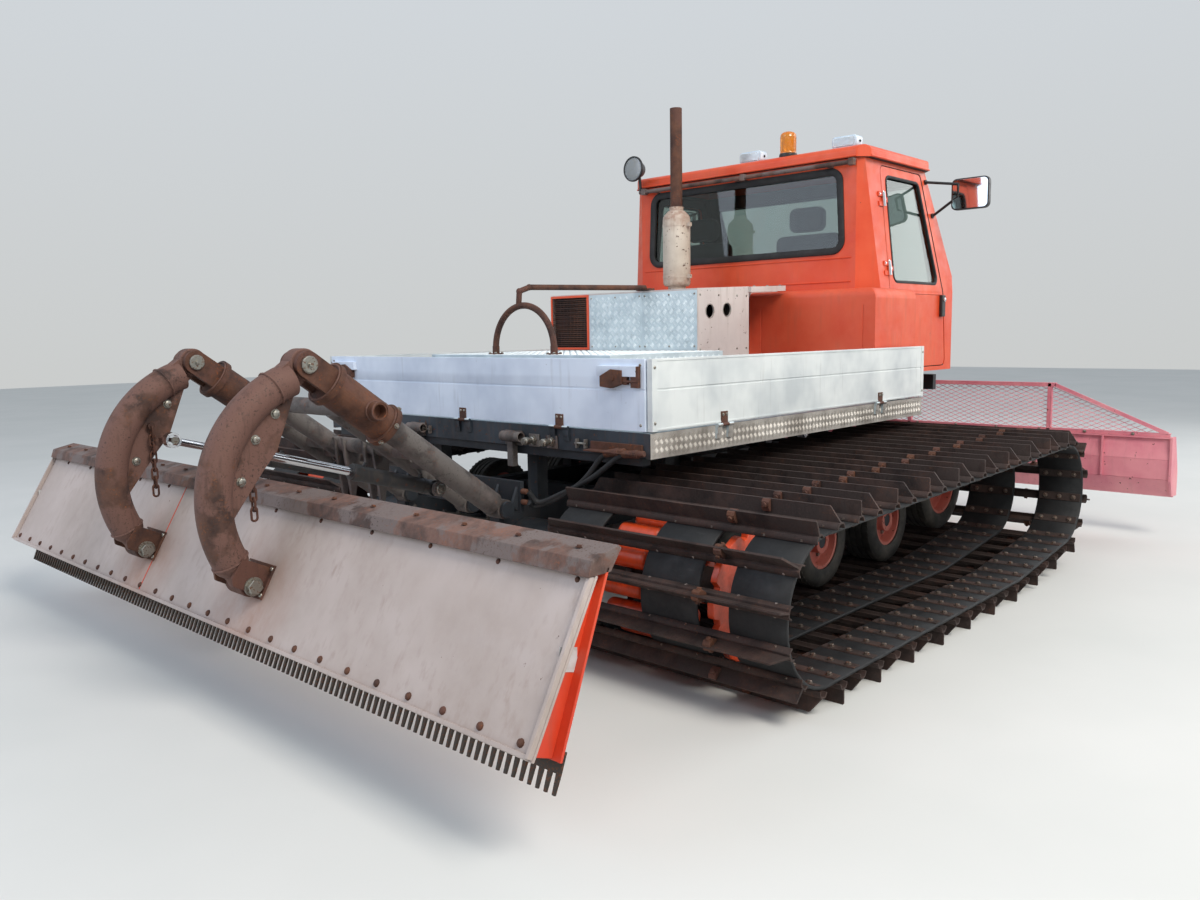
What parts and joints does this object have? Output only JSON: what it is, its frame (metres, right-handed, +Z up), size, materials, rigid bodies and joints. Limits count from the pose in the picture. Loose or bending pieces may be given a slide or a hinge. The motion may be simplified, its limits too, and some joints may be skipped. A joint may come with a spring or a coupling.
{
  "type": "snowcat groomer",
  "caption": "Tracked snow groomer with wide bar-cleat belts, small cab, drop-side load bed, front blade and a rear smoother board on gooseneck arms.",
  "frame": {"origin": "ground level under the middle of the machine's overall length and width", "axes": "+X forward, +Y to the machine's left, +Z up"},
  "size_m": [5.744, 4.68, 2.892],
  "materials": {
    "orange_paint": "gloss, sun-faded",
    "frame_paint": "satin black, dusty",
    "belt_rubber": "matt",
    "tyre_rubber": "matt",
    "rim_paint": "faded salmon red",
    "sprocket_plastic": "moulded polyurethane",
    "cast_block": "cast, oily",
    "white_board": "white coated aluminium",
    "chequer": "chequer plate",
    "cover_paint": "dirty white",
    "rust": "rusted steel",
    "muffler_paint": "heat-stained",
    "glass_tint": "clear",
    "seat_cloth": "woven",
    "black_plastic": "moulded",
    "amber": "clear amber",
    "lamp_white": "lens and shell",
    "arm_steel": "worn paint over rust",
    "board_paint": "taupe paint",
    "comb_steel": "bare spring steel",
    "chrome_rod": "hard chrome",
    "barrel_paint": "black",
    "blade_paint": "faded red"
  },
  "bodies": {
    "machine": {"chassis_frame": "frame_paint", "body_bearers": "frame_paint", "cab_bearers": "frame_paint", "rear_hitch": "frame_paint", "front_hitch": "frame_paint", "axles": "frame_paint", "engine_block": "cast_block", "track_right": "belt_rubber", "track_left": "belt_rubber", "tyres": "tyre_rubber", "rims": "rim_paint", "sprockets": "sprocket_plastic", "bed_floor": "chequer", "deck_box": "chequer", "engine_cover": "cover_paint", "radiator_grille": "rust", "muffler": "muffler_paint", "exhaust_pipe": "rust", "load_hoop": "rust", "lockers": "orange_paint", "cab_shell": "orange_paint", "cab_roof": "orange_paint", "cab_glass": "glass_tint", "seats": "seat_cloth", "controls": "black_plastic", "mirrors": "black_plastic", "beacon": "amber", "lamps": "lamp_white", "gutter_lamp": "black_plastic", "hoses": "belt_rubber"},
    "board_right": {"side_board_right": "white_board"},
    "board_left": {"side_board_left": "white_board"},
    "tail_board": {"tailgate": "white_board"},
    "right_door": {"door_right": "orange_paint", "door_glass_right": "glass_tint"},
    "left_door": {"door_left": "orange_paint", "door_glass_left": "glass_tint"},
    "lift_frame": {"rear_lift_frame": "arm_steel"},
    "smoother": {"gooseneck_arms": "arm_steel", "chains": "rust", "smoother_board": "board_paint", "comb": "comb_steel"},
    "lift_barrel": {"lift_barrels": "barrel_paint"},
    "lift_rod": {"lift_rods": "chrome_rod"},
    "tilt_barrel": {"tilt_barrels": "barrel_paint"},
    "tilt_rod": {"tilt_rods": "chrome_rod"},
    "push_frame": {"front_lift_frame": "frame_paint", "front_blade": "blade_paint", "blade_guard": "blade_paint"},
    "blade_barrel": {"blade_barrels": "barrel_paint"},
    "blade_rod": {"blade_rods": "chrome_rod"}
  },
  "joints": [
    {"name": "side_board_right_drop", "type": "hinge", "parent": "machine", "child": "board_right", "pos_m": [0.037, -1.254, 0.996], "axis": [1, 0, 0], "range_deg": [0, 105]},
    {"name": "side_board_left_drop", "type": "hinge", "parent": "machine", "child": "board_left", "pos_m": [0.037, 1.254, 0.996], "axis": [-1, 0, 0], "range_deg": [0, 105]},
    {"name": "tailgate_drop", "type": "hinge", "parent": "machine", "child": "tail_board", "pos_m": [-1.275, 0, 0.996], "axis": [0, -1, 0], "range_deg": [0, 90]},
    {"name": "door_right_swing", "type": "hinge", "parent": "machine", "child": "right_door", "pos_m": [1.385, -0.97468, 2], "axis": [0, -0.1124, -0.9937], "range_deg": [0, 75]},
    {"name": "door_left_swing", "type": "hinge", "parent": "machine", "child": "left_door", "pos_m": [1.385, 0.97468, 2], "axis": [0, -0.1124, 0.9937], "range_deg": [0, 75]},
    {"name": "rear_lift", "type": "hinge", "parent": "machine", "child": "lift_frame", "pos_m": [-1.463, 0, 0.62], "axis": [0, 1, 0], "range_deg": [-9, 18]},
    {"name": "smoother_tilt", "type": "hinge", "parent": "lift_frame", "child": "smoother", "pos_m": [-2.433, 0, 1.32], "axis": [0, 1, 0], "range_deg": [-9, 19]},
    {"name": "lift_barrel_swing", "type": "hinge", "parent": "machine", "child": "lift_barrel", "pos_m": [-1.163, 0, 0.44], "axis": [0, 1, 0], "range_deg": [-5.08, 10.11]},
    {"name": "lift_rod_slide", "type": "slide", "parent": "lift_barrel", "child": "lift_rod", "axis": [-0.9701, 0, 0.2425], "range_m": [-0.0136, 0.027]},
    {"name": "tilt_barrel_swing", "type": "hinge", "parent": "lift_frame", "child": "tilt_barrel", "pos_m": [-1.743, 0, 0.74], "axis": [0, 1, 0], "range_deg": [-0.98, 2.01]},
    {"name": "tilt_rod_slide", "type": "slide", "parent": "tilt_barrel", "child": "tilt_rod", "axis": [-0.9594, 0, 0.2822], "range_m": [-0.0567, 0.1196]},
    {"name": "blade_lift", "type": "hinge", "parent": "machine", "child": "push_frame", "pos_m": [2.037, 0, 0.45], "axis": [0, 1, 0], "range_deg": [-8, 18]},
    {"name": "blade_barrel_swing", "type": "hinge", "parent": "machine", "child": "blade_barrel", "pos_m": [2.037, 0, 0.92], "axis": [0, 1, 0], "range_deg": [-3.7, 8.26]},
    {"name": "blade_rod_slide", "type": "slide", "parent": "blade_barrel", "child": "blade_rod", "axis": [0.7241, 0, -0.6897], "range_m": [-0.0464, 0.1042]}
  ],
  "couplings": [
    {"joint": "lift_barrel_swing", "follows": "rear_lift", "ratio": 0.54795},
    {"joint": "lift_rod_slide", "follows": "rear_lift", "m_per_rad": 0.08352},
    {"joint": "tilt_barrel_swing", "follows": "smoother_tilt", "ratio": 0.10135},
    {"joint": "tilt_rod_slide", "follows": "smoother_tilt", "m_per_rad": 0.35289},
    {"joint": "blade_barrel_swing", "follows": "blade_lift", "ratio": 0.44717},
    {"joint": "blade_rod_slide", "follows": "blade_lift", "m_per_rad": 0.32457}
  ]
}
